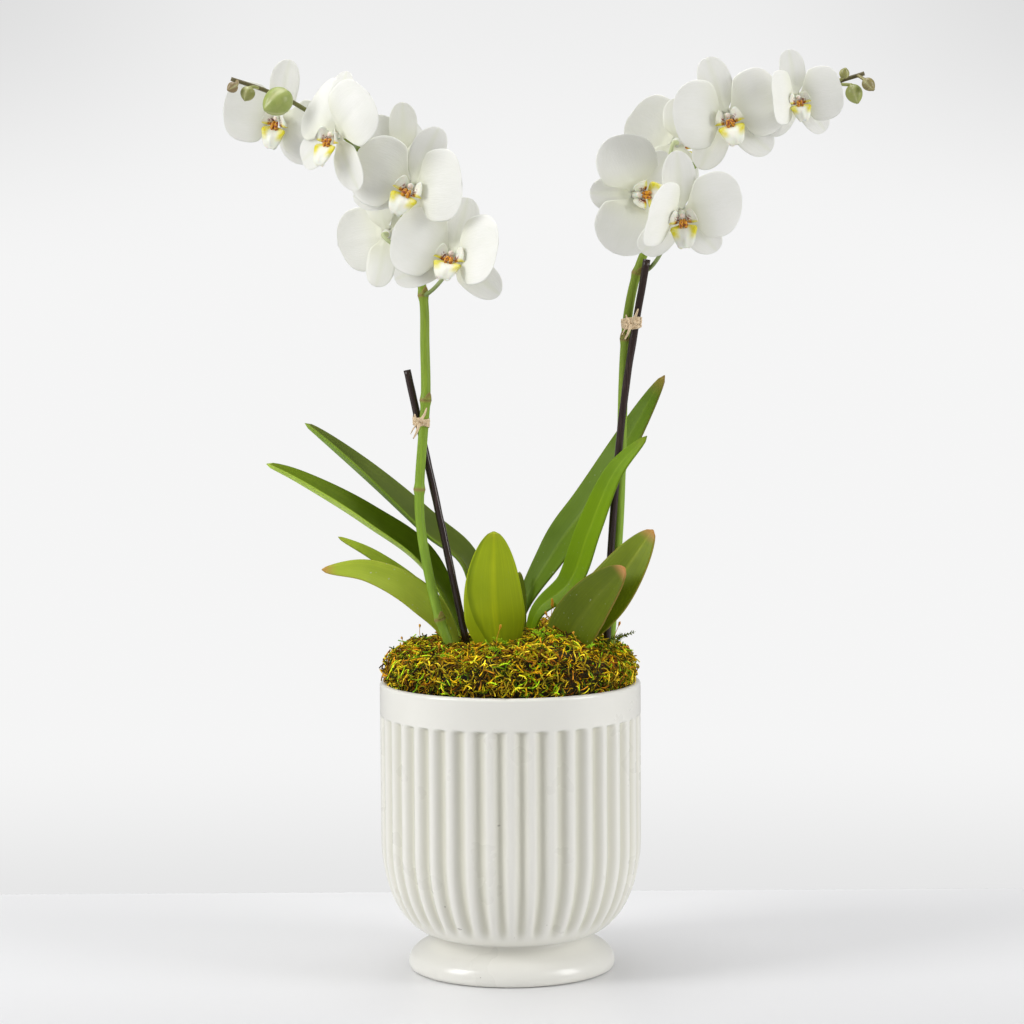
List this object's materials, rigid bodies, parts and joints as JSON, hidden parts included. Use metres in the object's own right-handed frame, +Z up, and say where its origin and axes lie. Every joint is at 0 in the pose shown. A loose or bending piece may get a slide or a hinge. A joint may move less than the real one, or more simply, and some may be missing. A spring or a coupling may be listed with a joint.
{
  "type": "potted orchid",
  "caption": "Potted moth orchid: two arching flower spikes tied to stakes, strap leaves and moss in a round fluted ceramic pot on a flared foot.",
  "frame": {"origin": "on the pot's axis, at the level of the surface that the foot stands on", "axes": "+Z up along the pot's axis, -Y to the front, which the flowers face, +X to the right seen from the front"},
  "size_m": [0.3826, 0.1587, 0.5423],
  "materials": {
    "glaze": "satin",
    "bark": "rough",
    "moss": "rough",
    "leaf": "satin",
    "spike": "satin",
    "stake": "gloss",
    "raffia": "matte",
    "petal": "matte",
    "bud": "satin"
  },
  "bodies": {
    "root": {"pot": "glaze", "potting_bark": "bark", "moss": "moss", "left_stake": "stake", "left_spike": "spike", "left_tie": "raffia", "left_leaf_1": "leaf", "left_leaf_2": "leaf", "left_leaf_3": "leaf", "left_leaf_4": "leaf", "left_leaf_5": "leaf", "right_stake": "stake", "right_spike": "spike", "right_tie": "raffia", "right_leaf_1": "leaf", "right_leaf_2": "leaf", "right_leaf_3": "leaf", "right_leaf_4": "leaf", "right_leaf_5": "leaf", "left_flower_1": "petal", "left_stalk_1": "spike", "left_flower_2": "petal", "left_stalk_2": "spike", "left_flower_3": "petal", "left_stalk_3": "spike", "left_flower_4": "petal", "left_stalk_4": "spike", "left_flower_5": "petal", "left_stalk_5": "spike", "left_flower_6": "petal", "left_stalk_6": "spike", "right_flower_1": "petal", "right_stalk_1": "spike", "right_flower_2": "petal", "right_stalk_2": "spike", "right_flower_3": "petal", "right_stalk_3": "spike", "right_flower_4": "petal", "right_stalk_4": "spike", "right_flower_5": "petal", "right_stalk_5": "spike", "left_bud_1": "bud", "left_bud_2": "bud", "left_bud_3": "bud", "right_bud_1": "bud", "right_bud_2": "bud", "right_bud_3": "bud"}
  },
  "joints": []
}
